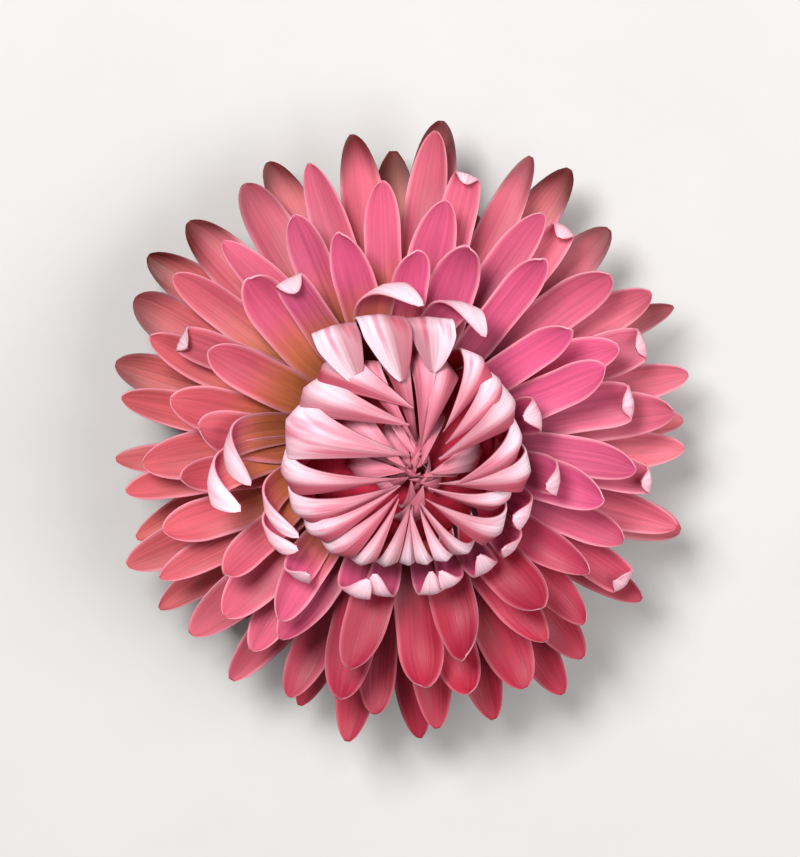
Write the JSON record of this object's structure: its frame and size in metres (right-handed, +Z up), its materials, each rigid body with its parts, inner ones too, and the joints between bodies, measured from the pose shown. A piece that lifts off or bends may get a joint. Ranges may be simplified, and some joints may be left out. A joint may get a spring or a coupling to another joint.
{
  "type": "dried strawflower head",
  "caption": "Dried everlasting flower head, picked without its stem: papery rose-pink ray bracts spread round a closed, pale, incurved crown.",
  "frame": {"origin": "on the surface the head rests on, under the middle of the head", "axes": "+Z up the head's axis, +Y towards the bracts at the top of the picture, +X to its right"},
  "size_m": [0.0374, 0.0407, 0.0188],
  "materials": {
    "cut_stalk": "matte",
    "base_scales": "satin",
    "ray_bracts": "satin",
    "crown_bracts": "satin"
  },
  "bodies": {
    "root": {"cut_stalk": "cut_stalk", "base_scales": "base_scales", "ray_bracts": "ray_bracts", "crown_bracts": "crown_bracts"}
  },
  "joints": []
}
